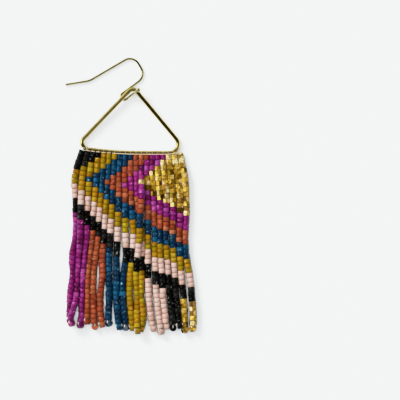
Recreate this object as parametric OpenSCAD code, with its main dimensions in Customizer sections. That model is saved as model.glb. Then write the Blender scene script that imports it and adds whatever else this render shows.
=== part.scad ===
// A beaded dangle earring that lies flat on a surface: an ear wire whose open loop holds a
// triangle of round wire, and nineteen strings of cylinder beads that hang from its base bar.
// X runs across the strings, Y up towards the ear wire, and Z out of the surface.
// The origin is under the middle of the whole earring, on the surface.

/* [Ear wire] */
// Diameter of the ear wire
hook_wire_d = 0.72; // [0.6:0.02:0.74]
// Diameter of the ball that ends the ear wire
ball_d = 1.4; // [1.1:0.05:1.4]
// Length of the straight tip, which goes through the ear first
tip_len = 7; // [6:0.1:8]
// Length of the run from the tip up to the bow
back_len = 15.3; // [14.5:0.1:16]
// Width of the bow, from the corner of its first bend to the corner of its second
bow_w = 7.3; // [7:0.1:7.8]
// Width of the open loop that holds the frame, between the wire's centre lines
loop_w = 2.1; // [2.1:0.01:2.2]

/* [Frame] */
// Diameter of the frame's wire
frame_wire_d = 1.25; // [1:0.05:1.25]
// Width of the frame's centre line, between the sharp corners before they are rounded
frame_w = 33.8; // [33.6:0.1:34.2]
// Height of the frame's centre line, from the base bar to the sharp apex before it is rounded
frame_h = 19.7; // [19.6:0.1:19.8]
// Bend radius of the apex, to the wire's centre line
apex_r = 1.6; // [1.5:0.1:1.7]
// Bend radius of the left corner, to the wire's centre line
left_r = 2; // [1.6:0.1:2]
// Bend radius of the right corner, to the wire's centre line
right_r = 2.6; // [2.2:0.1:2.8]
// Angle at which the frame leans up from the surface, so that it passes over the ear wire
lean = 2.8; // [2.8:0.1:3.1]

/* [Bead strings] */
// Diameter of a string of beads
string_d = 1.5; // [1.3:0.05:1.5]
// Distance between neighbouring strings where they hang on the base bar
string_pitch = 1.62; // [1.6:0.01:1.64]
// Gap between the base bar and the top of each string, where the thread shows
hang_gap = 0.15; // [0.1:0.05:0.4]

/* [Hidden] */
$fn = 48;

GOLD = [0.83, 0.69, 0.35];
MAGENTA = [0.59, 0.14, 0.53];
RUST = [0.72, 0.31, 0.18];
TEAL = [0.04, 0.29, 0.43];
MUSTARD = [0.72, 0.55, 0.08];
PINK = [0.89, 0.74, 0.72];
BLACK = [0.06, 0.06, 0.06];

hook_r = hook_wire_d / 2;
frame_r = frame_wire_d / 2;
string_r = string_d / 2;

// Each straight of a wire runs this far into the bends beside it
lap = 0.1;
// A bend's wire is this much thicker in radius than a straight, so that the two meet cleanly
swell = 0.01;
// Height of each wire's centre line where it rests on the surface
hook_z = hook_r + swell;
frame_z = frame_r + swell;
// Length of the cone filed on the ear wire's tip
filed = 0.4;
// Bends wider than wide_bend are drawn with wide_fn sides
wide_bend = 20;
wide_fn = 400;

// The ear wire as it is bent, one row for each straight run, lying on the surface until it climbs
// over the frame. The two bends of the hairpin leave a short straight of hairpin_gap between them.
// Columns: heading in the plane, length between corners, rise, bend radius at the run's end
hairpin_gap = 0.1;
hairpin_r = (loop_w - hairpin_gap) / 2;
HOOK_RUNS = [
    [9.2, tip_len, 0, 6],
    [30.3, back_len, 0, 3],
    [-60.3, bow_w, 0, 3],
    [-143.5, 9.7, 0, hairpin_r],
    [-53.5, loop_w, 0, hairpin_r],
    [36.5, 1.5, 0, 0.8],
    [36.5, 2.4, 2.15, 1],
    [36.5, 1.55, 0.35, 0]
];
// Number of the corner where the hairpin starts, and its place
hairpin_corner = 4;
hairpin_at = [-3.32, 30.07];

// Corners of the frame's centre line before rounding, and the gentle bow of its base bar
base_y = 12.9;
base_left_rise = 1.6;
frame_shift = 0.2;
apex_x = 0.75;
bow_x = -4.25;
bow_r = 120;
apex = [apex_x, base_y + frame_h, frame_z];
left_corner = [frame_shift - frame_w / 2, base_y + base_left_rise, frame_z];
bow_corner = [bow_x, base_y, frame_z];
right_corner = [frame_shift + frame_w / 2, base_y, frame_z];
FRAME_POINTS = [apex, left_corner, bow_corner, right_corner];
FRAME_BENDS = [apex_r, left_r, bow_r, right_r];

// Where each string lies, left to right: x at each of the LEVELS, then x and y of its lower end
LEVELS = [6, 0, -6, -12, -18, -24, -30, -36];
LANES = [
    [-16.6, -16.6, -16.5, -16.6, -17.5, -17.5, -18.2, -18.4, -18.2, -38.2],
    [-14.4, -14.9, -15.0, -15.2, -15.5, -15.9, -16.2, -17.8, -17.5, -39.0],
    [-12.2, -12.6, -13.0, -13.1, -13.7, -14.3, -14.5, -14.7, -15.0, -39.6],
    [-10.2, -10.6, -11.2, -11.4, -12.1, -12.7, -12.9, -13.1, -13.1, -38.5],
    [ -8.4,  -8.8,  -9.4,  -9.7, -10.5, -11.1, -11.2, -11.0, -10.6, -40.0],
    [ -6.8,  -7.2,  -7.6,  -8.0,  -8.5,  -8.4,  -9.1,  -8.9,  -8.3, -39.3],
    [ -5.1,  -5.4,  -5.8,  -6.3,  -6.4,  -6.4,  -6.4,  -6.6,  -6.4, -39.0],
    [ -3.5,  -3.6,  -3.8,  -3.9,  -4.2,  -4.2,  -4.4,  -3.8,  -3.3, -40.1],
    [ -1.8,  -1.5,  -1.6,  -1.4,  -1.3,  -2.2,  -2.3,  -1.6,  -1.3, -40.3],
    [  0.0,   0.2,   0.4,   0.7,   0.3,  -0.3,  -0.3,   0.1,   0.6, -40.4],
    [  1.6,   1.9,   2.9,   3.6,   3.6,   3.5,   3.5,   3.9,   3.2, -40.7],
    [  3.2,   3.2,   2.7,   2.5,   2.0,   1.6,   1.9,   1.9,   2.0, -41.3],
    [  4.8,   5.2,   5.3,   5.3,   5.2,   5.2,   5.5,   6.1,   6.8, -40.6],
    [  6.4,   6.9,   7.0,   7.1,   7.1,   7.2,   7.6,   8.4,   9.2, -41.5],
    [  8.2,   8.8,   8.8,   8.8,   9.1,   9.6,   9.8,  10.4,  10.8, -39.9],
    [ 10.1,  10.6,  10.6,  10.6,  11.0,  11.5,  11.9,  12.5,  12.7, -40.4],
    [ 12.1,  12.7,  12.8,  12.5,  12.8,  13.2,  13.6,  14.4,  15.0, -39.7],
    [ 14.1,  14.8,  14.9,  14.6,  14.8,  15.2,  15.8,  16.1,  16.0, -41.0],
    [ 16.1,  16.6,  16.7,  16.4,  16.7,  17.7,  18.3,  18.7,  18.5, -40.5]
];
// Strings that climb over a neighbour: number, then height above the rest at each level and the end
CLIMBS = [
    [ 2, [0, 0.4, 1.0, 0.9, 0, 0, 0.2, 1.6, 1.6]],
    [12, [0, 1.5, 1.8, 1.5, 0.6, 0, 0, 0, 1.3]],
    [17, [0, 0, 0, 0, 0, 0, 0, 0.5, 1.3]]
];
spans = len(LEVELS) + 1;
rings_a_span = 2;
sides = 8;

// Unit vector from p to q
function along(p, q) = (q - p) / norm(q - p);
// Angle by which a wire turns at its corner q
function turn(p, q, s) = acos(along(p, q) * along(q, s));
// Length of each straight that a bend of radius r takes up at the corner q
function bend_cut(p, q, s, r) = r * tan(turn(p, q, s) / 2);
// Centre of the bend of radius r at the corner q
function bend_centre(p, q, s, r) =
    let (inwards = along(q, p) + along(q, s))
    q + inwards / norm(inwards) * r / cos(turn(p, q, s) / 2);

// Sum of the first n values of a list of vectors
function total(list, n) = n == 0 ? [0, 0, 0] : total(list, n - 1) + list[n - 1];
HOOK_STEPS = [for (run = HOOK_RUNS) [run[1] * cos(run[0]), run[1] * sin(run[0]), run[2]]];
hook_start = [hairpin_at.x, hairpin_at.y, hook_z] - total(HOOK_STEPS, hairpin_corner);
HOOK_POINTS = [for (i = [0 : len(HOOK_RUNS)]) hook_start + total(HOOK_STEPS, i)];
HOOK_BENDS = concat([0], [for (run = HOOK_RUNS) run[3]]);

// Height of the base bar's centre line at x: level on the right, then a gentle bow up to the left
base_slope = base_left_rise / (bow_x - left_corner.x);
bow_half = bow_r * tan(atan(base_slope) / 2);
function base_line(x) =
    let (u = bow_x + bow_half - x)
    u < 0 ? base_y
        : u < 2 * bow_half ? base_y + base_slope * u * u / (4 * bow_half)
        : base_y + base_slope * (u - bow_half);

// Height of the frame's underside at x, round its two corners as well
left_centre = bend_centre(apex, left_corner, bow_corner, left_r);
right_centre = bend_centre(bow_corner, right_corner, apex, right_r);
function round_under(centre, r, x) = centre.y - sqrt(max(0, r * r - (x - centre.x) * (x - centre.x)));
function underside(x) =
    x < left_centre.x ? round_under(left_centre, left_r + frame_r, x)
        : x > right_centre.x ? round_under(right_centre, right_r + frame_r, x)
        : base_line(x) - frame_r;

// Points that string i passes through, from its top under the bar to its lower end
function climb(i, k) = max([for (row = CLIMBS) row[0] == i + 1 ? row[1][k] : 0]);
function top_x(i) = (i - (len(LANES) - 1) / 2) * string_pitch;
function top_y(x) = min([for (dx = [-string_r, 0, string_r]) underside(x + dx)]) - hang_gap;
function route(i) = concat(
    [[top_x(i), top_y(top_x(i)), string_r]],
    [for (k = [0 : len(LEVELS) - 1]) [LANES[i][k], LEVELS[k], string_r + climb(i, k)]],
    [[LANES[i][spans - 1], LANES[i][spans], string_r + climb(i, spans - 1)]]
);

// A smooth curve through b and c, whose neighbours are a and d. It climbs with no overshoot.
function smooth(a, b, c, d, t) =
    let (p = (2 * b + (c - a) * t + (2 * a - 5 * b + 4 * c - d) * t * t
            + (3 * b - a - 3 * c + d) * t * t * t) / 2)
    [p.x, p.y, b.z + (c.z - b.z) * t * t * (3 - 2 * t)];
function spread(points) =
    let (last = len(points) - 1, first_step = points[1] - points[0],
         end_step = points[last] - points[last - 1],
         p = concat([points[0] - first_step], points, [points[last] + end_step]))
    concat(
        [for (k = [0 : last - 1], n = [0 : rings_a_span - 1])
            smooth(p[k], p[k + 1], p[k + 2], p[k + 3], n / rings_a_span)],
        [points[last]]
    );

// Round wire through corner points, with a bend of its own radius at each corner
module straight(p, q, r) {
    way = along(p, q);
    translate(p) rotate([0, acos(way.z), atan2(way.y, way.x)]) cylinder(r = r, h = norm(q - p));
}

module bend(p, q, s, bend_r, r) {
    ahead = along(p, q);
    axis = cross(ahead, along(q, s));
    up = axis / norm(axis);
    inwards = cross(up, ahead);
    centre = bend_centre(p, q, s, bend_r);
    multmatrix([
        [-inwards.x, ahead.x, up.x, centre.x],
        [-inwards.y, ahead.y, up.y, centre.y],
        [-inwards.z, ahead.z, up.z, centre.z],
        [0, 0, 0, 1]
    ])
        rotate_extrude(angle = turn(p, q, s), $fn = bend_r > wide_bend ? wide_fn : $fn)
            translate([bend_r, 0]) circle(r = r + swell);
}

module open_wire(points, bends, r) {
    last = len(points) - 1;
    for (i = [0 : last - 1]) {
        way = along(points[i], points[i + 1]);
        start_cut = i == 0 ? 0
            : bend_cut(points[i - 1], points[i], points[i + 1], bends[i]) - lap;
        end_cut = i == last - 1 ? 0
            : bend_cut(points[i], points[i + 1], points[i + 2], bends[i + 1]) - lap;
        straight(points[i] + way * start_cut, points[i + 1] - way * end_cut, r);
    }
    for (i = [1 : last - 1])
        bend(points[i - 1], points[i], points[i + 1], bends[i], r);
}

module closed_wire(points, bends, r) {
    n = len(points);
    for (i = [0 : n - 1]) {
        before = points[(i + n - 1) % n];
        here = points[i];
        next = points[(i + 1) % n];
        beyond = points[(i + 2) % n];
        way = along(here, next);
        start_cut = bend_cut(before, here, next, bends[i]) - lap;
        end_cut = bend_cut(here, next, beyond, bends[(i + 1) % n]) - lap;
        straight(here + way * start_cut, next - way * end_cut, r);
        bend(before, here, next, bends[i], r);
    }
}

// The filed end of the ear wire, a short blunt cone in front of the point p
module tip(p, q, r) {
    way = along(p, q);
    translate(p) rotate([0, acos(way.z), atan2(way.y, way.x)])
        translate([0, 0, -filed]) cylinder(r1 = r / 2, r2 = r, h = filed);
}

// The ear wire: straight tip, long run, bow, stem, then an open loop that ends in a ball
module ear_hook() {
    color(GOLD) {
        open_wire(HOOK_POINTS, HOOK_BENDS, hook_r);
        tip(HOOK_POINTS[0], HOOK_POINTS[1], hook_r);
        translate(HOOK_POINTS[len(HOOK_RUNS)]) sphere(d = ball_d);
    }
}

// The frame: one soldered ring of wire, which rests on its base bar and leans up over the ear wire
module triangle_frame() {
    color(GOLD)
        translate([0, base_y, frame_z]) rotate([lean, 0, 0]) translate([0, -base_y, -frame_z])
            closed_wire(FRAME_POINTS, FRAME_BENDS, frame_r);
}

// One string of beads, as a tube with flat sides swept along its route
function string_colour(i) =
    i < 3 ? MAGENTA : i < 6 ? RUST : i < 9 ? TEAL : i < 12 ? MUSTARD
        : i < 15 ? PINK : i < 17 ? BLACK : GOLD;

module strand(i) {
    centres = spread(route(i));
    last = len(centres) - 1;
    corner_r = string_r / cos(180 / sides);
    points = [
        for (k = [0 : last])
            let (way = along(centres[max(k - 1, 0)], centres[min(k + 1, last)]),
                 across = cross(way, [0, 0, 1]), side = across / norm(across),
                 up = cross(side, way))
            for (j = [0 : sides - 1])
                let (a = 360 * (j + 0.5) / sides)
                centres[k] + corner_r * (cos(a) * side + sin(a) * up)
    ];
    walls = [
        for (k = [0 : last - 1], j = [0 : sides - 1])
            let (a = k * sides + j, b = k * sides + (j + 1) % sides)
            each [[a, b, b + sides], [a, b + sides, a + sides]]
    ];
    top_cap = [[for (j = [sides - 1 : -1 : 0]) j]];
    end_cap = [[for (j = [0 : sides - 1]) last * sides + j]];
    color(string_colour(i)) polyhedron(points, concat(walls, top_cap, end_cap));
}

ear_hook();
triangle_frame();
for (i = [0 : len(LANES) - 1])
    strand(i);
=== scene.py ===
# %% [markdown]
# # Dressing a beaded fringe earring
# The solids of this earring are already there, at their real size: a bent ear wire, a soldered
# triangle of wire, and plain tubes where the strings of beads hang. This notebook puts the beads,
# the thread and the metal's finish on them. It could build the jewel again and fit it to the solids
# afterwards, but here every bead takes its place from a solid, so nothing can drift.

import bpy
import numpy as np
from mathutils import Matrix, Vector
from mathutils.bvhtree import BVHTree


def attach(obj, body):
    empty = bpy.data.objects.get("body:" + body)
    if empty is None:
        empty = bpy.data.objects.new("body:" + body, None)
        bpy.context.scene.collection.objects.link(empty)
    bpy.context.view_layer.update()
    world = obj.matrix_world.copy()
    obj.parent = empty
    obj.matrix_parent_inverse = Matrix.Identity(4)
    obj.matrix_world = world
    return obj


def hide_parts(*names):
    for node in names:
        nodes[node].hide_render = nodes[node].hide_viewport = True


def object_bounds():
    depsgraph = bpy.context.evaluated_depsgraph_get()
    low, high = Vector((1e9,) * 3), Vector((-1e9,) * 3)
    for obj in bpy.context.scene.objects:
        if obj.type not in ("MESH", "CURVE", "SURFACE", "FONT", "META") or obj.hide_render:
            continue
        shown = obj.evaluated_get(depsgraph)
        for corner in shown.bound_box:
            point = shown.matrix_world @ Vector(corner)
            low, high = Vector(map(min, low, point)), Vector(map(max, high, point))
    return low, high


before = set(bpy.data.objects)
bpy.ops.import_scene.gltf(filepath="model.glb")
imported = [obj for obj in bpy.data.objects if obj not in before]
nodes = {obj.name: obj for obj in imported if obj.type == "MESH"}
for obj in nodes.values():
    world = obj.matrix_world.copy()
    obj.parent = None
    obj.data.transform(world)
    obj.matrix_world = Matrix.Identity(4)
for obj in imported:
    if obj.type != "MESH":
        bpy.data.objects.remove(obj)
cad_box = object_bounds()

MM = 0.001
strings = sorted(name for name in nodes if name.startswith("strand_"))
print("solids:", len(nodes), "of which strings:", len(strings))

# %% [markdown]
# ## The camera
# The picture was taken from straight above, a little off to one side, with the earring in the left
# half. A parallel camera would do, but a long lens from far away gives the same flat look and still
# behaves like a camera in the other views.

# %% Camera
PX_PER_MM = 3.34
PICTURE_PX = 400
PICTURE_CENTRE = (20.75 * MM, -1.23 * MM)
CAMERA_HEIGHT = 0.9
SENSOR = 36.0

view_width = PICTURE_PX / PX_PER_MM * MM
camera_data = bpy.data.cameras.new("camera")
camera_data.sensor_width = SENSOR
camera_data.lens = SENSOR * CAMERA_HEIGHT / view_width
camera = bpy.data.objects.new("camera", camera_data)
camera.location = (*PICTURE_CENTRE, CAMERA_HEIGHT)
bpy.context.scene.collection.objects.link(camera)
bpy.context.scene.camera = camera
print("lens: %.0f mm, picture %.1f mm wide" % (camera_data.lens, view_width / MM))

# %% [markdown]
# ## Small helpers for materials
# A finish is a short chain of nodes: where on the bead are we, how does the colour change there, and
# how rough is it. These helpers add one node each, so that a finish reads from top to bottom.

# %% Material helpers
def new_material(name, **sockets):
    """A material with one Principled shader, whose sockets get the given constants."""
    material = bpy.data.materials.new(name)
    material.use_nodes = True
    shader = material.node_tree.nodes["Principled BSDF"]
    for socket, value in sockets.items():
        shader.inputs[socket.replace("_", " ")].default_value = value
    return material, shader


def add_node(material, kind, inputs=None, **settings):
    """One more node, with its settings, and its inputs as constants or links from other sockets."""
    tree = material.node_tree
    node = tree.nodes.new(kind)
    for key, value in settings.items():
        setattr(node, key, value)
    for key, value in (inputs or {}).items():
        if isinstance(value, bpy.types.NodeSocket):
            tree.links.new(value, node.inputs[key])
        else:
            node.inputs[key].default_value = value
    return node


def ramp(material, factor, stops):
    """Colours laid along a factor from 0 to 1; stops are pairs of place and colour."""
    node = add_node(material, "ShaderNodeValToRGB", {"Fac": factor})
    band = node.color_ramp
    while len(band.elements) < len(stops):
        band.elements.new(0.5)
    for element, (place, colour) in zip(band.elements, stops):
        element.position = place
        element.color = (*colour, 1)
    return node.outputs["Color"]


def blend(material, way, colour, by, amount=1.0):
    """One colour blended with another, such as MULTIPLY or ADD, by some amount."""
    node = add_node(material, "ShaderNodeMix", data_type="RGBA", blend_type=way)
    node.inputs["Factor"].default_value = amount
    material.node_tree.links.new(colour, node.inputs["A"])
    material.node_tree.links.new(by, node.inputs["B"])
    return node.outputs["Result"]


# %% [markdown]
# ## Small patterns
# Glass, thread and plate all carry a fine pattern that follows nothing but the object itself: clouds of
# noise, or cells. It could be painted on a picture, but a pattern worked out from the place has no seam.

# %% Pattern helpers
def speckle(material, scale, detail=2.0, roughness=0.5):
    """Noise in the object's own coordinates; scale is in patches for each metre."""
    place = add_node(material, "ShaderNodeTexCoord")
    noise = add_node(material, "ShaderNodeTexNoise",
                     {"Vector": place.outputs["Object"], "Scale": scale, "Detail": detail,
                      "Roughness": roughness})
    return noise.outputs["Fac"]


def cells(material, scale):
    """Cells of random colour in the object's own coordinates; scale is in cells for each metre."""
    place = add_node(material, "ShaderNodeTexCoord")
    pattern = add_node(material, "ShaderNodeTexVoronoi",
                       {"Vector": place.outputs["Object"], "Scale": scale})
    return pattern.outputs["Color"]


def add_bump(material, shader, height, distance, strength=1.0):
    """Relief on a shader from a height between 0 and 1, distance deep in metres."""
    bump = add_node(material, "ShaderNodeBump",
                    {"Height": height, "Distance": distance, "Strength": strength})
    material.node_tree.links.new(bump.outputs["Normal"], shader.inputs["Normal"])


# %% [markdown]
# ## Small helpers for meshes
# Every new piece is a grid of points that numpy works out as whole arrays. A wall is rows of points
# joined to the next row, so one function makes the faces of beads, thread and floor alike.

# %% Mesh helpers
def grid_faces(rows, columns, close_rows=False, close_columns=True):
    """Four-cornered faces of a grid of points, row by row, joined round where asked. They face away
    from the side on which the columns run clockwise as the rows go up."""
    row = np.arange(rows if close_rows else rows - 1)[:, None]
    column = np.arange(columns if close_columns else columns - 1)[None, :]
    next_row, next_column = (row + 1) % rows, (column + 1) % columns
    corners = [row * columns + column, row * columns + next_column,
               next_row * columns + next_column, next_row * columns + column]
    return np.stack(corners, axis=-1).reshape(-1, 4)


def joined(walls):
    """Several sets of points and faces as one."""
    starts = np.cumsum([0] + [len(points) for points, _ in walls[:-1]])
    return (np.vstack([points for points, _ in walls]),
            np.vstack([faces + start for (_, faces), start in zip(walls, starts)]))


def make_piece(name, points, faces, materials, smooth=True, face_material=None, attributes=None):
    """A mesh object at the origin from arrays of points and faces. smooth and face_material are one
    value, or one for each face. attributes are vectors for each point, or values for each face."""
    mesh = bpy.data.meshes.new(name)
    mesh.from_pydata(points.tolist(), [], faces.tolist())
    for material in materials:
        mesh.materials.append(material)
    mesh.polygons.foreach_set("use_smooth", np.broadcast_to(smooth, len(faces)).astype(bool))
    if face_material is not None:
        mesh.polygons.foreach_set("material_index", face_material.astype(np.int32))
    for key, values in (attributes or {}).items():
        kind, place, field = (("FLOAT", "FACE", "value") if values.ndim == 1
                              else ("FLOAT_VECTOR", "POINT", "vector"))
        layer = mesh.attributes.new(key, kind, place)
        layer.data.foreach_set(field, values.astype(np.float32).ravel())
    mesh.update()
    piece = bpy.data.objects.new(name, mesh)
    bpy.context.scene.collection.objects.link(piece)
    return piece


def unit(vectors):
    """The same directions, one metre long."""
    return vectors / np.linalg.norm(vectors, axis=-1, keepdims=True)


# %% [markdown]
# ## Where each string runs
# Each string's solid is a tube with eight corners to a ring. The middle of each ring is a point of the
# string's route, so the route can be read back from the solid and rounded with a smooth curve. The
# route could be listed here again, but then two lists would have to agree.

# %% Routes
RING_CORNERS = 8
STRING_REST = 0.75 * MM
LOOK = 0.3 * MM


def tube_route(node):
    """Middles of a tube's rings, from the top down. A ring's corners lie closer together along the
    string than two rings do, so the sorted points fall into rings by themselves."""
    mesh = node.data
    flat = np.empty(len(mesh.vertices) * 3, np.float32)
    mesh.vertices.foreach_get("co", flat)
    points = np.unique(flat.reshape(-1, 3).round(7), axis=0)
    points = points[np.argsort(-points[:, 1])]
    return points.reshape(-1, RING_CORNERS, 3).mean(axis=1)


def smooth_route(knots, steps=16):
    """Curve through the knots. Between two knots it is a cubic, whose slope at each knot is that of
    the line between the knot's neighbours. It stays as high as a string at rest."""
    p = np.vstack([2 * knots[0] - knots[1], knots, 2 * knots[-1] - knots[-2]])
    t = np.linspace(0, 1, steps, endpoint=False)[None, :, None]
    a, b, c, d = (p[k:len(p) - 3 + k, None, :] for k in range(4))
    curve = (2 * b + (c - a) * t + (2 * a - 5 * b + 4 * c - d) * t ** 2
             + (3 * b - a - 3 * c + d) * t ** 3) / 2
    route = np.vstack([curve.reshape(-1, 3), knots[-1:]])
    route[:, 2] = np.maximum(route[:, 2], STRING_REST)
    return route


def along_route(route, lengths):
    """Points at the given lengths from the start, and the unit direction there, measured between a
    point a little before and one a little after."""
    steps = np.linalg.norm(np.diff(route, axis=0), axis=1)
    run = np.concatenate([[0], np.cumsum(steps)])
    lengths = np.asarray(lengths)
    inside = np.clip(lengths, LOOK, run[-1] - LOOK)
    here, before, after = (np.stack([np.interp(at, run, route[:, k]) for k in range(3)], axis=-1)
                           for at in (lengths, inside - LOOK, inside + LOOK))
    return here, unit(after - before)


def route_length(route):
    """Length of a route: the sum of its steps."""
    return np.linalg.norm(np.diff(route, axis=0), axis=1).sum()


routes = {name: smooth_route(tube_route(nodes[name])) for name in strings}
print("string lengths: %.1f to %.1f mm" % (min(route_length(r) for r in routes.values()) / MM,
                                           max(route_length(r) for r in routes.values()) / MM))

# %% [markdown]
# ## The colours, row by row
# The pattern is a gold wedge at the right edge with bands of three beads round it, then the fringe in
# blocks of three strings. It could be charted bead by bead, but a rule is shorter: a bead's band is its
# distance from the wedge's tip, counted in rows and strings together. The left top corner is black.

# %% Bead chart
COLOURS = ["gold", "magenta", "rust", "teal", "mustard", "pink", "black"]
GOLD = COLOURS.index("gold")
MUSTARD = COLOURS.index("mustard")
BLACK = COLOURS.index("black")
BAND_ROWS = 3
TIP_STRING = 11
TIP_ROW = 5
FRINGE_BLOCKS = {"magenta": 3, "rust": 3, "teal": 3, "mustard": 3, "pink": 3, "black": 2, "gold": 2}
FRINGE = [COLOURS.index(colour) for colour, count in FRINGE_BLOCKS.items() for _ in range(count)]


def bead_colours(string, count):
    """Index into COLOURS for each row of one string, counted from the bar down."""
    row = np.arange(count)
    distance = abs(row - TIP_ROW) + TIP_STRING - string
    band = np.clip(np.ceil(distance / BAND_ROWS), 0, None).astype(int)
    band = np.where((row < TIP_ROW) & (band > MUSTARD), BLACK, band)
    return np.where(band > BLACK, FRINGE[string], band)


print("the first string from the bar:", ", ".join(COLOURS[band] for band in bead_colours(0, 16)))

# %% [markdown]
# ## The shape of a bead
# These are cylinder beads: short pieces cut from a six-sided glass tube with a hole for the thread, so
# that they look square from the side. A profile of six points, carried round the hole, gives the
# outside, both ends and the hole itself. On the glass beads the six sides are soft; on the gold ones they
# are flat and catch the light. A bead is repeated hundreds of times, so it has only a few dozen faces.

# %% Bead shapes
BEAD_R = 0.92 * MM
GOLD_SWELL = 1.09
BEAD_PITCH = 1.45 * MM
BEAD_LENGTH = 1.43 * MM
HOLE_R = 0.2 * MM
RIM = 0.055 * MM
SIDES = 6
SOFT_SIDES = 0.05
OUTSIDE_WALL = 2


def bead_profile():
    """Outline of half a bead: over one end, along the outside, over the other end, and back inside the
    hole. Columns: radius, place along the hole."""
    half = BEAD_LENGTH / 2
    return np.array([
        [HOLE_R, -half], [BEAD_R - RIM, -half], [BEAD_R, -half + RIM],
        [BEAD_R, half - RIM], [BEAD_R - RIM, half], [HOLE_R, half],
    ])


def turned(profile, sides, flattening=0.0):
    """Points and faces of a profile carried round the hole, as one closed wall. The radius shrinks by
    the flattening at every second point, which turns twelve points into six soft sides."""
    angle = 2 * np.pi * np.arange(sides) / sides
    radius, length = profile[:, :1] * (1 - flattening * (np.arange(sides) % 2)), profile[:, 1:]
    points = np.stack([radius * np.cos(angle), radius * np.sin(angle),
                       np.broadcast_to(length, (len(profile), sides))], axis=-1)
    return points.reshape(-1, 3), grid_faces(len(profile), sides, close_rows=True)


glass_bead = turned(bead_profile(), 2 * SIDES, SOFT_SIDES)
gold_bead = turned(bead_profile() * [GOLD_SWELL, 1], SIDES)
print("faces of a glass bead:", len(glass_bead[1]), "and of a gold bead:", len(gold_bead[1]))

# %% [markdown]
# ## Rows along a string
# A string is its beads one after another. The first bead is pulled up to the stitches on the bar; only on
# the last string it stands on end. Under it some strings are slack, which their first rows take up, and
# halfway down some hang a little higher or lower than an even count gives. Every bead could have its own
# place in a list, but an even count with a few shifts is shorter.

# %% Rows
TOP_SLACK = np.array([0.1, 0, 0.1, 0.1, 0.1, 0.3, 0.4, 0.8, 0.9, 0.6, 0.5, 0.2, 0.3, 0.3, 0.3, 0.1, 0.1,
                      0, 0.1]) * MM
SLACK_ROWS = 3
REACH_UP = 0.2 * MM
LOW_SHIFT = np.array([0, 0, -0.1, -0.3, 0, 0.2, 0, 0.3, 0.5, 0, 0.9, 0.3, 0.3, 1.6, -0.4, -0.9, -1.1,
                      0.4, 0.1]) * MM
SHIFT_ROWS = (4, 21)
FIRST_ON_END = [18]


def row_ends(string, length):
    """Row numbers, and where the rows begin and end in lengths along the route. The rows share the
    route less its slack and its last bead. The slack comes back over the first rows, and the shift
    grows between two rows and fades out again towards the hem."""
    slack = TOP_SLACK[string]
    reach_up = REACH_UP * (string not in FIRST_ON_END)
    room = length - slack - 2 * BEAD_R
    share = np.ones(int(round(room / BEAD_PITCH)))
    if string in FIRST_ON_END:
        share[0] = 2 * BEAD_R / BEAD_PITCH
    row = np.concatenate([[0], np.cumsum(share)])
    ends = row / row[-1] * room + (slack + reach_up) * np.clip(row / SLACK_ROWS, 0, 1) - reach_up
    ends += LOW_SHIFT[string] * np.interp(row, [*SHIFT_ROWS, row[-1]], [0, 1, 0])
    return row, ends


print("beads of each string:", [len(row_ends(index, route_length(routes[name]))[0])
                                for index, name in enumerate(strings)])

# %% [markdown]
# ## Room between the strings
# Strings press on each other, so a bead is as wide as the room between its neighbours allows. In the
# fringe, where strings part, a limit keeps the beads from growing into the gaps. A few strings lie a
# little to one side in the middle of the panel. One width for all beads would be simpler, but it leaves
# white slits between strings that touch on the real earring.

# %% Room
NARROWEST = 0.87 * MM
WIDEST = 1.11 * MM
TOUCH = 1.08
LARGEST_SHIFT = 0.15 * MM
FREE_FROM = (25 * MM, 31 * MM)
ROOM_LIMIT = (1.25 * MM, 1.0 * MM)
ASIDE = {9: 0.1 * MM, 10: -0.15 * MM, 13: 0.2 * MM, 14: -0.12 * MM, 15: -0.08 * MM}
ASIDE_ROWS = (10, 18, 28, 36)


def room_at(string, middle, at):
    """Radius and sideways shift that suit the room between the two neighbour strings. The room on a
    side is half the distance to that string, up to a limit that is lower in the free fringe, where
    strings part. The radius is the mean of the two rooms, and the shift half their difference."""
    beside = [routes[strings[k]] for k in (string - 1, string + 1) if 0 <= k < len(strings)]
    gaps = [np.linalg.norm(middle[:, None] - route[None], axis=-1).min(axis=1) for route in beside]
    rooms = [np.minimum(gap / 2, np.interp(at, FREE_FROM, ROOM_LIMIT)) for gap in gaps]
    radius = np.clip(TOUCH * (rooms[0] + rooms[-1]) / 2, NARROWEST, WIDEST)
    return radius, np.clip((rooms[-1] - rooms[0]) / 2, -LARGEST_SHIFT, LARGEST_SHIFT)


def move_aside(string, row):
    """How far each row of a string lies to one side: all the way in the middle rows, less around them."""
    return ASIDE.get(string, 0) * np.interp(row, ASIDE_ROWS, [0, 1, 1, 0])


print("strings a little to one side:", ", ".join(strings[k] for k in ASIDE))

# %% [markdown]
# ## How each bead lies
# A bead has three axes: across the string, up, and along its hole. The thread has play in the holes, so
# each bead is turned about the string and leans a little off it. The last bead lies across the string,
# because the thread goes through it and back up, and its hole is level or stands up by some degrees.
# Angles could be set bead by bead, but random ones look as loose, and a fixed seed keeps them.

# %% Bead axes
TILT = 0.05
TILT_UP_SHARE = 0.5
EDGE_UP_PLAY = 0.2
LAST_LIE = [90, 50, 40, 25, 85, 10, 65, -5, 75, 10, -10, 15, 20, 40, 5, 90, 0, 30, 75]
LIE_PLAY = 5


def side_and_up(ahead):
    """For each direction along a string, a level direction across it and one up out of it."""
    side = unit(np.cross(ahead, [0.0, 0.0, 1.0]))
    return side, np.cross(side, ahead)


def first_axes(string, ahead, random):
    """Axes of every bead before any play: across, up and along the string. The last bead's hole leads
    across, raised by its own angle, and the hole of a first bead on end leads up."""
    side, up = side_and_up(ahead)
    axes = np.stack([side, up, ahead], axis=1)
    lie = np.radians(LAST_LIE[string] + random.normal(0, LIE_PLAY))
    hole, below = np.array([[np.cos(lie), np.sin(lie)], [np.sin(lie), -np.cos(lie)]]) @ axes[-1, :2]
    axes[-1] = ahead[-1], below, hole
    if string in FIRST_ON_END:
        axes[0] = axes[0][[0, 2, 1]] * np.array([[1], [-1], [1]])
    return axes


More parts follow.
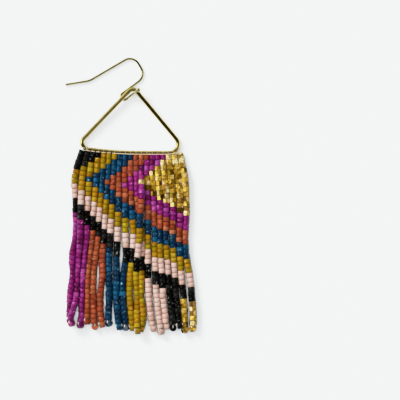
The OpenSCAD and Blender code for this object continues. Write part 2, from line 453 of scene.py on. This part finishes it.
def bead_axes(string, ahead, colour, random):
    """Axes of every bead, and its turn about the hole. Gold beads have an edge up, give or take a
    little, and glass ones turn any way. A leaning hole is the straight one plus a small part of the
    other two axes, made one long again."""
    count = len(ahead)
    axes = first_axes(string, ahead, random)
    roll = np.pi / 2 + random.normal(0, np.where(colour == GOLD, EDGE_UP_PLAY, np.pi), count)
    turn = np.zeros((count, 3, 3))
    turn[:, 0, 0], turn[:, 0, 1] = np.cos(roll), np.sin(roll)
    turn[:, 1, 0], turn[:, 1, 1] = -np.sin(roll), np.cos(roll)
    turn[:, 2, 2] = 1
    lean = random.normal(0, TILT, (count, 2))
    axes[:, 2] += lean[:, :1] * axes[:, 0] + TILT_UP_SHARE * lean[:, 1:] * axes[:, 1]
    axes[:, 2] = unit(axes[:, 2])
    axes[:, 0] = unit(axes[:, 0] - (axes[:, 0] * axes[:, 2]).sum(1, keepdims=True) * axes[:, 2])
    axes[:, 1] = np.cross(axes[:, 2], axes[:, 0])
    return turn @ axes, turn


print("holes of the last beads rise by %d to %d degrees" % (min(LAST_LIE), max(LAST_LIE)))

# %% [markdown]
# ## Stringing
# Rows, room and axes come together in the layout of one string: where each bead is, how it lies and how
# large it is. Each bead rests at the height of its tube's underside, and none rises above the solids. A
# physics run could drop the beads into place, but it is slow and hard to steer. All beads of a string
# are placed at once with arrays.

# %% Stringing
SIZE_PLAY = 0.03
SNUG = 0.99
SLACK = 0.03 * MM


def bead_sizes(string, ends, radius, random):
    """Size of every bead against the template: across, up (the same) and along. A bead fills all but
    a little of its row, and the last one keeps its own length."""
    lengths = SNUG * np.diff(ends)
    if string in FIRST_ON_END:
        lengths[0] = BEAD_LENGTH
    size = 1 + random.uniform(-SIZE_PLAY, SIZE_PLAY, (len(radius), 3))
    size[:, 0] *= radius / BEAD_R
    size[:, 1] = size[:, 0]
    size[:-1, 2] = lengths / BEAD_LENGTH
    return size


def half_height(rise, radius, half_length):
    """Half the height of a cylinder whose hole rises by some part of its length: the radius times the
    level part of the hole's direction, plus half the length times its rise."""
    return radius * np.sqrt(1 - rise ** 2) + half_length * abs(rise)


def string_layout(string, route, random):
    """Middle, axes, turn, size and colour of every bead of a string, and the string's direction there."""
    length = route_length(route)
    row, ends = row_ends(string, length)
    at = np.append((ends[1:] + ends[:-1]) / 2, length - BEAD_R)
    middle, ahead = along_route(route, at)
    side = side_and_up(ahead)[0]
    colour = bead_colours(string, len(at))
    axes, turn = bead_axes(string, ahead, colour, random)
    radius, shift = room_at(string, middle, at)
    size = bead_sizes(string, ends, radius, random)
    middle = middle + side * (random.normal(0, SLACK, len(at)) - shift)[:, None]
    middle[:, 0] += move_aside(string, row)
    reach = half_height(axes[:, 2, 2], BEAD_R * size[:, 0] * np.where(colour == GOLD, GOLD_SWELL, 1),
                        BEAD_LENGTH / 2 * size[:, 2])
    middle[:, 2] = np.minimum(middle[:, 2] + reach - STRING_REST, cad_box[1][2] - reach)
    return {"middle": middle, "axes": axes, "turn": turn, "size": size, "colour": colour, "ahead": ahead}


def copies(template, chosen):
    """A template's points at every chosen bead: middle + x across + y up + z along, each times the
    bead's own size."""
    points, faces = template
    local = points[None] * chosen["size"][:, None, :]
    placed = chosen["middle"][:, None, :] + np.einsum("npk,nkd->npd", local, chosen["axes"])
    offset = np.arange(len(placed))[:, None, None] * len(points)
    return placed.reshape(-1, 3), (faces[None] + offset).reshape(-1, 4)


# %% [markdown]
# ## The colour of one bead
# No two beads of a batch are quite alike. Each bead carries a random tone and tint and its own
# coordinates, so one material can shade a whole colour: the tone picks deep, body or pale, the tint leans
# it to red or to green, and the place on the bead darkens rims and flanks with painted shade, as if
# neighbouring beads shaded them.
# Image textures could do it, but nodes stay sharp close up.

# %% Bead colour
TINTS = [(0.0, (1.0, 0.82, 0.84)), (1.0, (0.82, 1.0, 0.98))]
# Painted shade: rims and flanks darkened by the place on the bead, as if neighbours shaded them.
RIM_SHADE = [(0.84, (1, 1, 1)), (0.96, (0.3, 0.3, 0.3)), (1.0, (0.85, 0.85, 0.85))]
FLANK_SHADE = [(0.78, (1, 1, 1)), (0.95, (0.25, 0.25, 0.25))]


def bead_colour(material, stops, mottling, tinting=1.0):
    """Colour of a bead: a ramp over its tone, tinted and mottled, with painted shade at its rims and
    flanks.
    """
    tone = add_node(material, "ShaderNodeAttribute", attribute_name="bead_tone")
    colour = ramp(material, tone.outputs["Fac"], stops)
    tint = add_node(material, "ShaderNodeAttribute", attribute_name="bead_tint")
    colour = blend(material, "MULTIPLY", colour, ramp(material, tint.outputs["Fac"], TINTS), tinting)
    patches = ramp(material, speckle(material, 2800, 4.0, 0.6),
                   [(0.38, (mottling,) * 3), (0.6, (1, 1, 1))])
    colour = blend(material, "MULTIPLY", colour, patches)
    place = add_node(material, "ShaderNodeAttribute", attribute_name="bead_place")
    parts = add_node(material, "ShaderNodeSeparateXYZ", {"Vector": place.outputs["Vector"]})
    # Painted shade at the rims (Z) and the flanks (X) of each bead.
    for axis, shade in (("Z", RIM_SHADE), ("X", FLANK_SHADE)):
        distance = add_node(material, "ShaderNodeMath", {0: parts.outputs[axis]}, operation="ABSOLUTE")
        colour = blend(material, "MULTIPLY", colour, ramp(material, distance.outputs[0], shade))
    return colour


# %% [markdown]
# ## Glass and gold
# Opaque glass has an even body colour with a thin clear skin that takes the light, and a few pale spots
# painted on it stand for glints, as painted highlights. The gold beads are plated cut glass, whose uneven
# faces mirror one thing or another, so small cells of painted reflection, lighter and darker, break up
# their metal. True clear glass would let the light in and slow the picture down, and these beads let none
# through.

# %% Bead finishes
# Shades of the painted reflection on gold: darker, middle, and brighter than the plate.
PAINTED_SPARKLE = [(0.25, (0.5, 0.47, 0.44)), (0.5, (0.89, 0.91, 0.93)), (0.75, (1.36, 1.38, 1.6))]


def glass_finish(name, deep, body, pale, roughness, coat, painted_glint, mottling=0.7, tinting=1.0):
    """Opaque glass: body colour with small painted glints, under a clear skin."""
    material, shader = new_material(name, Roughness=roughness, Specular_IOR_Level=0.1,
                                    Coat_Weight=coat, Coat_Roughness=0.08)
    colour = bead_colour(material, [(0.0, deep), (0.5, body), (1.0, pale)], mottling, tinting)
    # Painted highlights: pale spots added to the colour where the noise is high.
    glints = ramp(material, speckle(material, 1200, 1.0), [(0.67, (0, 0, 0)), (0.74, painted_glint)])
    colour = blend(material, "ADD", colour, glints)
    material.node_tree.links.new(colour, shader.inputs["Base Color"])
    add_bump(material, shader, speckle(material, 2600, 2.0), 0.02 * MM, 0.5)
    return material


def gold_bead_finish(name, tones, mottling, tinting):
    """Gold plate on cut glass: half metal, from dark bronze to pale gold bead by bead, with cells of
    painted reflection.
    """
    material, shader = new_material(name, Metallic=0.4, Roughness=0.25, Specular_IOR_Level=0.15)
    colour = bead_colour(material, tones, mottling, tinting)
    # Painted reflection: cells of random light and dark, some brighter than the plate itself.
    sparkle = ramp(material, cells(material, 1400), PAINTED_SPARKLE)
    colour = blend(material, "MULTIPLY", colour, sparkle)
    material.node_tree.links.new(colour, shader.inputs["Base Color"])
    add_bump(material, shader, speckle(material, 1800, 2.0), 0.03 * MM, 0.6)
    return material


finishes = {
    "gold": gold_bead_finish("gold_beads", [(0.0, (0.08, 0.035, 0.001)), (0.35, (0.25, 0.13, 0.004)),
                                            (0.7, (0.56, 0.34, 0.04)), (1.0, (0.75, 0.56, 0.24))],
                             mottling=0.6, tinting=0.25),
    "magenta": glass_finish("magenta_beads", (0.06, 0.0006, 0.033), (0.137, 0.0028, 0.082),
                            (0.23, 0.034, 0.17), roughness=0.35, coat=0.4, painted_glint=(0.20, 0.07, 0.17)),
    "rust": glass_finish("rust_beads", (0.11, 0.015, 0.0045), (0.19, 0.033, 0.0115),
                         (0.27, 0.082, 0.036), roughness=0.4, coat=0.25, painted_glint=(0.18, 0.10, 0.07)),
    "teal": glass_finish("teal_beads", (0.0001, 0.0067, 0.021), (0.0002, 0.017, 0.044),
                         (0.0045, 0.067, 0.137), roughness=0.2, coat=0.3, painted_glint=(0.07, 0.15, 0.19)),
    "mustard": glass_finish("mustard_beads", (0.116, 0.056, 0.0003), (0.19, 0.102, 0.0006),
                            (0.27, 0.17, 0.0045), roughness=0.3, coat=0.15, painted_glint=(0.12, 0.10, 0.03)),
    "pink": glass_finish("pink_beads", (0.28, 0.165, 0.125), (0.36, 0.23, 0.195), (0.42, 0.28, 0.25),
                         roughness=0.35, coat=0.15, painted_glint=(0.08, 0.065, 0.06), mottling=0.9,
                         tinting=0.4),
    "black": glass_finish("black_beads", (0.0002, 0.0002, 0.0002), (0.0004, 0.0004, 0.0003),
                          (0.008, 0.008, 0.0075), roughness=0.16, coat=0.12, painted_glint=(0.09, 0.10, 0.09)),
}
print("bead finishes:", ", ".join(finishes))

# %% [markdown]
# ## What a bead tells its material
# The finishes above ask each bead for a tone, a tint and the place on it. They are numbers on the faces
# and points of the mesh. A material for each bead would also do, but there are hundreds of beads.

# %% Bead values
TONE_PLAY = 0.19
# Spread of each flat side's tone: partly the glass's own unevenness, partly painted sheen; on gold it is
# larger, painting facets lighter and darker.
GLASS_FLAT_TONE_AND_SHEEN = 0.11
GOLD_FLAT_TONE_AND_SHEEN = 0.31
TOP_ROWS = 2
TOP_GOLD_TONE = 0.45
TIP_TONE = 1.6


def bead_tones(index, colour, random):
    """A tone for each bead, mostly near the middle of its colour. Gold beads right under the bar are
    paler, and the wedge's tip is the palest of all."""
    tone = np.clip(random.normal(0.5, TONE_PLAY, len(colour)), 0, 1)
    tone[:TOP_ROWS] += np.where(colour[:TOP_ROWS] == GOLD, TOP_GOLD_TONE, 0)
    if index == TIP_STRING:
        tone[colour == GOLD] = TIP_TONE
    return tone


def bead_walls(template, beads, tone, tint, flat_spread_and_sheen, rounded, random):
    """Points and faces of all beads of one kind, and their values. Each of a bead's flat sides is a
    little off the bead's tone, partly the glass's own unevenness and partly painted sheen, a flat lit or
    shaded as if it caught the light, and only the outside of a rounded bead is shaded smooth."""
    count = len(template[1])
    sides = count // len(bead_profile())
    wall, side = np.divmod(np.arange(count), sides)
    flat_shift_and_sheen = random.normal(0, flat_spread_and_sheen, (len(tone), SIDES))
    local = template[0] / [BEAD_R, BEAD_R, BEAD_LENGTH / 2]
    return copies(template, beads), {
        "finish": np.repeat(beads["colour"], count),
        "smooth": np.tile((wall == OUTSIDE_WALL) & rounded, len(tone)),
        "bead_tone": (tone[:, None] + flat_shift_and_sheen[:, side * SIDES // sides]).ravel(),
        "bead_tint": np.repeat(tint, count),
        "bead_place": np.einsum("pk,nkj->npj", local, beads["turn"]).reshape(-1, 3),
    }


# %% [markdown]
# ## The strings
# Now the beads of each string become one mesh. It stands for that string's tube, which stays behind for
# collision. Single bead objects would look the same, but a string is what hangs from the bar, so a string
# is the piece.

# %% Make the strings
FIRST_SEED = 40


def make_string(index, name):
    """One string of beads from its route: glass and gold beads, joined in one mesh."""
    random = np.random.default_rng(FIRST_SEED + index)
    beads = string_layout(index, routes[name], random)
    tone = bead_tones(index, beads["colour"], random)
    tint = random.uniform(0, 1, len(tone))
    kinds = []
    for template, chosen, flat_spread_and_sheen, rounded in (
            (glass_bead, beads["colour"] != GOLD, GLASS_FLAT_TONE_AND_SHEEN, True),
            (gold_bead, beads["colour"] == GOLD, GOLD_FLAT_TONE_AND_SHEEN, False)):
        picked = {key: rows[chosen] for key, rows in beads.items()}
        kinds.append(bead_walls(template, picked, tone[chosen], tint[chosen], flat_spread_and_sheen, rounded, random))
    values = {key: np.concatenate([kind[1][key] for kind in kinds]) for key in kinds[0][1]}
    piece = make_piece(name + "_beads", *joined([walls for walls, _ in kinds]),
                       [finishes[colour] for colour in COLOURS], values.pop("smooth"),
                       values.pop("finish"), values)
    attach(piece, "root")
    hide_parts(name)
    return beads


layouts = [make_string(index, name) for index, name in enumerate(strings)]
print("beads:", sum(len(beads["middle"]) for beads in layouts))

# %% [markdown]
# ## A wall along a path
# Thread is a thin six-sided wall carried along a path. An open one is closed with two faces over each
# end, and a loop runs into its own start. A curve object with a bevel would look the same but isn't a
# mesh yet.

# %% Tube helper
THREAD_SIDES = 6
END_FACES = np.array([[0, 1, 2, 3], [0, 3, 4, 5]])


def tube(path, radius, plane=(0.0, 0.0, 1.0), closed=False):
    """A six-sided wall of a given radius carried along a path, which lies in the plane with the given
    upright or leans a little out of it. An open path gets two faces over each end."""
    before, after = np.roll(path, 1, axis=0), np.roll(path, -1, axis=0)
    if not closed:
        before[0], after[-1] = path[0], path[-1]
    ahead = unit(after - before)
    side = unit(np.cross(plane, ahead))
    up = np.cross(side, ahead)
    angle = 2 * np.pi * np.arange(THREAD_SIDES) / THREAD_SIDES
    ring = np.cos(angle)[None, :, None] * side[:, None] + np.sin(angle)[None, :, None] * up[:, None]
    points = (path[:, None] + radius * ring).reshape(-1, 3)
    faces = grid_faces(len(path), THREAD_SIDES, close_rows=closed)[:, ::-1]
    if not closed:
        faces = np.vstack([faces, END_FACES, END_FACES[:, ::-1] + len(points) - THREAD_SIDES])
    return points, faces


def round_angles(count):
    """Evenly spaced angles once round, as a column."""
    return 2 * np.pi * np.arange(count)[:, None] / count


# %% [markdown]
# ## The thread
# A fine pale thread runs through every bead, and shows where a string hangs off the bar, where beads
# part, and where it loops through the last bead. The hidden parts could be left out, but a whole thread
# is right from every side and costs little.

# %% Thread
THREAD_R = 0.1 * MM
RUN_POINTS = 60
LOOP_R = 0.13 * MM
LOOP_HALF_WIDTH = 0.9 * MM
LOOP_HALF_HEIGHT = 0.5 * MM
LOOP_POINTS = 24


def inner_run(route):
    """The thread of one string, from its top to where its last bead begins."""
    stops = np.linspace(0, route_length(route) - 2 * BEAD_R, RUN_POINTS)
    return tube(along_route(route, stops)[0], THREAD_R)


def hem_loop(beads):
    """Closed loop of thread through the last bead of a string: an oval in the plane of the bead's hole
    and the string, kept off the floor."""
    centre, ahead, hole = beads["middle"][-1], beads["ahead"][-1], beads["axes"][-1, 2]
    angle = round_angles(LOOP_POINTS)
    loop = (centre - ahead * LOOP_HALF_HEIGHT + LOOP_HALF_WIDTH * np.sin(angle) * hole
            + LOOP_HALF_HEIGHT * np.cos(angle) * ahead)
    loop[:, 2] = np.maximum(loop[:, 2], LOOP_R)
    return tube(loop, LOOP_R, np.cross(hole, ahead), closed=True)


def thread_finish(name, deep, pale):
    """Twisted thread: a soft sheen, and fine noise as its fibres."""
    material, shader = new_material(name, Roughness=0.55, Sheen_Weight=0.3)
    colour = ramp(material, speckle(material, 6000, 3.0), [(0.3, deep), (0.7, pale)])
    material.node_tree.links.new(colour, shader.inputs["Base Color"])
    add_bump(material, shader, speckle(material, 9000), 0.02 * MM)
    return material


thread = thread_finish("thread", (0.45, 0.38, 0.31), (0.55, 0.49, 0.42))
runs = [inner_run(routes[name]) for name in strings]
loops = [hem_loop(beads) for beads in layouts]
threads = make_piece("string_threads", *joined(runs + loops), [thread])
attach(threads, "root")
print("thread faces:", len(threads.data.polygons))

# %% [markdown]
# ## Where the bar is
# Each string is sewn to the frame's base bar, so every turn of thread has to lie on the wire. Its place
# could be worked out from the frame's sizes, but the turn asks the wire's own mesh instead: a ray from
# the string's top meets the wire's near side, and one from beyond meets its far side.

# %% Find the wire
WIRE_HEIGHT = 0.635 * MM
FAR = 2.5 * MM
bar = BVHTree.FromObject(nodes["triangle_frame"], bpy.context.evaluated_depsgraph_get())


def wire_between(start, towards):
    """Middle and half width of the wire that lies from start in the level direction towards, that
    direction, and the one along the wire."""
    origin, aim = Vector((start[0], start[1], WIRE_HEIGHT)), Vector((*towards[:2], 0)).normalized()
    near = bar.ray_cast(origin, aim, FAR)[0]
    far = bar.ray_cast(origin + aim * FAR, -aim, FAR)[0]
    along = np.array([-aim[1], aim[0], 0.0])
    return np.array((near + far) / 2), (far - near).length / 2, np.array(aim), along


middle_string = strings[len(strings) // 2]
top, ahead = along_route(routes[middle_string], [0.0])
bar_width = 2 * wire_between(top[0], -ahead[0])[1]
print("the bar is %.2f mm thick at %s" % (bar_width / MM, middle_string))

# %% [markdown]
# ## The stitches that hang the strings on the bar
# A fine turn of thread goes round the wire at each string, and a short stitch lies under it. One long
# spiral would be less work, but the photo shows single stitches, longer ones towards the right.

# %% Stitches
STITCH_SEED = 7
UP = np.array([0, 0, 1.0])
PRESSED = 0.8
TURN_POINTS = 20
TURN_R = 0.028 * MM
TURN_LEAN = 0.1 * MM
STITCH_POINTS = 9
STITCH_PLACE = (-0.66, 0.75)
STITCH_SAG = (0.4, 0.7)
STITCH_RADII = (0.08, 0.1)
SHORT_STITCH = (1.1, 1.4)
LONG_STITCH = (1.85, 2.1)
LONG_STITCHES = range(7, 18)


def turn_round_wire(start, towards, radius, lean=0.0):
    """Oval turn of thread round the wire. Its upper half leans along the wire by some length."""
    middle, half, aim, along = wire_between(start, towards)
    angle = round_angles(TURN_POINTS)
    reach, lift = half + PRESSED * radius, WIRE_HEIGHT + PRESSED * radius
    path = middle + reach * np.cos(angle) * aim + lift * np.sin(angle) * UP
    path += lean * np.cos(angle) * along
    path[:, 2] = np.maximum(path[:, 2], radius)
    return tube(path, radius, along, closed=True)


def stitch_under_bar(start, towards, length, radius):
    """Short arc of thread against the wire's near flank: a level line that sags away from the wire. Its
    ends lie a part of its radius off the wire, and its middle some more."""
    middle, half, aim, along = wire_between(start, towards)
    t = np.linspace(-1, 1, STITCH_POINTS)[:, None]
    sag = half + radius * (STITCH_SAG[0] + STITCH_SAG[1] * (1 - t ** 2))
    path = middle + 0.5 * length * t * along + STITCH_PLACE[0] * sag * aim + STITCH_PLACE[1] * sag * UP
    return tube(path, radius)


def bar_stitches(random):
    """For each string a fine turn round the bar and a stitch under it."""
    pieces = []
    for index, name in enumerate(strings):
        top, ahead = along_route(routes[name], [0.0])
        pieces.append(turn_round_wire(top[0], -ahead[0], TURN_R, TURN_LEAN))
        length = random.uniform(*(LONG_STITCH if index in LONG_STITCHES else SHORT_STITCH)) * MM
        pieces.append(stitch_under_bar(top[0], -ahead[0], length, random.uniform(*STITCH_RADII) * MM))
    return pieces


stitches = bar_stitches(np.random.default_rng(STITCH_SEED))
print("turns and stitches at the strings:", len(stitches))

# %% [markdown]
# ## The turns at the corner
# The thread starts at the left corner with a few turns that cross each other. They could be one knotted
# path, but separate turns that lean to one side and the other look the same at this size.

# %% Corner turns
CORNER_CENTRE = np.array([-12.5, 15.9, 0.0]) * MM
CORNER_REACH = 3.3 * MM
CORNER_TURN_R = 0.05 * MM
CORNER_DEGREES = (200, 212, 224, 236, 248, 260)
CORNER_LEANS = (0.45, -0.35, 0.4, -0.45, 0.3, -0.3)


def corner_turns():
    """Turns side by side round the left corner, where the thread starts."""
    turns = []
    for degrees, lean in zip(CORNER_DEGREES, CORNER_LEANS):
        away = np.array([np.cos(np.radians(degrees)), np.sin(np.radians(degrees)), 0.0])
        turns.append(turn_round_wire(CORNER_CENTRE + away * CORNER_REACH, -away, CORNER_TURN_R, lean * MM))
    return turns


bar_thread = thread_finish("bar_thread", (0.44, 0.33, 0.19), (0.58, 0.47, 0.31))
stitches += corner_turns()
wraps = make_piece("bar_stitches", *joined(stitches), [bar_thread])
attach(wraps, "root")
print("with the corner's turns:", len(stitches))

# %% [markdown]
# ## The wire
# The ear wire and the triangle are pale gold plate on brass, polished smooth by handling and a little
# darker where it has tarnished. Their solids are exact round wire, so they stay, and only get this finish.

# %% Gold wire
WIRE_GOLDS = {
    "triangle_frame": ((0.40, 0.32, 0.09), (0.68, 0.56, 0.24)),
    "ear_hook": ((0.40, 0.37, 0.19), (0.64, 0.60, 0.36)),
}


def wire_finish(name, tarnished, bright):
    """Polished pale gold with faint tarnish patches and drawing marks."""
    material, shader = new_material(name, Metallic=1.0, Specular_Tint=(0.45, 0.38, 0.24, 1))
    patches = speckle(material, 420, 4.0, 0.6)
    colour = ramp(material, patches, [(0.3, tarnished), (0.62, bright)])
    material.node_tree.links.new(colour, shader.inputs["Base Color"])
    rough = add_node(material, "ShaderNodeMapRange", {"Value": patches, "To Min": 0.15, "To Max": 0.06})
    material.node_tree.links.new(rough.outputs["Result"], shader.inputs["Roughness"])
    add_bump(material, shader, speckle(material, 5200, 2.0), 0.004 * MM, 0.6)
    return material


for name, (tarnished, bright) in WIRE_GOLDS.items():
    nodes[name].material_slots[0].material = wire_finish(name + "_gold", tarnished, bright)
print("wire finish on:", ", ".join(WIRE_GOLDS))

# %% [markdown]
# ## The floor
# The earring lies on plain white card. It could be a curved backdrop, but from above only a pale ground
# shows, so a flat square that reaches past every view is enough.

# %% Floor
FLOOR_HALF = 0.8
FLOOR_POINTS = 9


def make_floor():
    """A flat square of white card."""
    across = np.linspace(-FLOOR_HALF, FLOOR_HALF, FLOOR_POINTS)
    x, y = np.meshgrid(across, across, indexing="xy")
    points = np.stack([x, y, np.zeros_like(x)], axis=-1).reshape(-1, 3)
    material, _ = new_material("floor", Roughness=0.7, Specular_IOR_Level=0.1,
                               Base_Color=(0.775, 0.83, 0.845, 1))
    faces = grid_faces(FLOOR_POINTS, FLOOR_POINTS, close_columns=False)
    make_piece("floor", points, faces, [material])


make_floor()
print("floor: %.1f m square" % (2 * FLOOR_HALF))

# %% [markdown]
# ## The lamps
# Soft light comes from the upper left, so shadows fall short to the lower right. Weaker lamps at the
# sides and one right above keep the floor between the strings pale. One big softbox would do for the
# shadows, but its mirror image would be a hard white spot on the beads, so mirrors don't show the lamps.

# %% Lamps
LAMPS = [
    # name, where it shines from, strength, spread in degrees, colour
    ("key", (-0.58, 0.60, 0.50), 6.9, 20, (1.0, 0.99, 0.97)),
    ("right side", (0.80, -0.30, 0.55), 0.3, 80, (0.98, 0.99, 1.0)),
    ("left side", (-0.70, -0.30, 0.65), 0.5, 80, (0.98, 0.99, 1.0)),
    ("all round", (0.38, -0.30, 0.87), 0.35, 150, (0.98, 0.99, 1.0)),
    ("above", (0.0, 0.0, 1.0), 2.5, 45, (1.0, 0.99, 0.98)),
]


def make_lamp(name, towards, strength, spread, colour):
    """A broad far lamp that mirrors don't show."""
    data = bpy.data.lights.new(name, "SUN")
    data.angle, data.energy, data.color = np.radians(spread), strength, colour
    lamp = bpy.data.objects.new(name, data)
    lamp.rotation_euler = Vector(towards).to_track_quat("Z", "Y").to_euler()
    lamp.visible_glossy = False
    bpy.context.scene.collection.objects.link(lamp)


for lamp in LAMPS:
    make_lamp(*lamp)
print("lamps:", ", ".join(lamp[0] for lamp in LAMPS))

# %% [markdown]
# ## The sky that the metal mirrors
# What polished wire shows is its surroundings: pale at the upper left, dim and warm at the lower right,
# and dark between them, which draws the dark lines along the metal. A small bright window at the left
# gives glass and gold their sparkle. A photographed room could stand here, but a few ramps are enough.

# %% Sky
PALE_SIDE = (-0.64, 0.77, 0.0)
WALLS = [
    (0.0, (0.08, 0.07, 0.05)), (0.06, (0.2, 0.17, 0.12)), (0.15, (0.5, 0.43, 0.32)),
    (0.26, (0.2, 0.18, 0.14)), (0.35, (0.03, 0.027, 0.015)), (0.57, (0.03, 0.027, 0.015)),
    (0.64, (0.35, 0.35, 0.34)), (0.8, (0.6, 0.6, 0.59)), (1.0, (0.8, 0.8, 0.79)),
]
WINDOW_SIDE = (-0.71, 0.05, 0.70)
WINDOW = [(0.985, (0, 0, 0)), (0.991, (1, 1, 1))]
WINDOW_STRENGTH = 5.0


def same_way(world, place, direction):
    """How far a direction of the sky points the same way as a given one, from 0 to 1."""
    same = add_node(world, "ShaderNodeVectorMath", {0: place, 1: direction}, operation="DOT_PRODUCT")
    share = add_node(world, "ShaderNodeMapRange", {"Value": same.outputs["Value"], "From Min": -1.0})
    return share.outputs["Result"]


def make_sky():
    """Walls and a window, each a ramp over how far one looks their way."""
    world = bpy.data.worlds.new("sky")
    world.use_nodes = True
    place = add_node(world, "ShaderNodeTexCoord").outputs["Generated"]
    walls = ramp(world, same_way(world, place, PALE_SIDE), WALLS)
    window = ramp(world, same_way(world, place, WINDOW_SIDE), WINDOW)
    around = add_node(world, "ShaderNodeBackground", {"Color": walls})
    shine = add_node(world, "ShaderNodeBackground", {"Color": window, "Strength": WINDOW_STRENGTH})
    both = add_node(world, "ShaderNodeAddShader", {0: around.outputs["Background"],
                                                   1: shine.outputs["Background"]})
    surface = world.node_tree.nodes["World Output"].inputs["Surface"]
    world.node_tree.links.new(both.outputs["Shader"], surface)
    bpy.context.scene.world = world


make_sky()
print("sky: %d stops round the walls" % len(WALLS))

# %% [markdown]
# ## The picture's tones
# A camera gathers its brightest tones softly, so that white card stays white and shadows fade out on it.
# A curve on the view does the same: dark and middle tones pass as they are, and brighter ones close in on
# white. The lamps could be turned down instead, but then the gaps between the strings would go dark.

# %% Tones
BRIGHTEST = 3.2
CURVE_FOR_ALL_COLOURS = 3
TONES = [(0, 0), (0.2, 0.2), (0.4, 0.4), (0.6, 0.58), (0.8, 0.70), (1.0, 0.77), (1.3, 0.83), (1.8, 0.88),
         (2.4, 0.93), (3.2, 0.96)]


def set_tones():
    """A curve on the view, through pairs of the light that comes in and the light that is shown."""
    view = bpy.context.scene.view_settings
    view.view_transform = "Standard"
    view.use_curve_mapping = True
    view.curve_mapping.white_level = [BRIGHTEST] * 3
    curve = view.curve_mapping.curves[CURVE_FOR_ALL_COLOURS]
    curve.points[1].location = (TONES[-1][0] / BRIGHTEST, TONES[-1][1])
    for light, shown in TONES[1:-1]:
        curve.points.new(light / BRIGHTEST, shown)
    view.curve_mapping.update()


set_tones()
print("brightest light shown: %.1f times white" % BRIGHTEST)

# %% [markdown]
# ## Measure and finish
# The last step prints the box of the bare solids in millimetres.

# %% Finish
print("solids' box in mm:", [[round(v / MM, 2) for v in corner] for corner in cad_box])
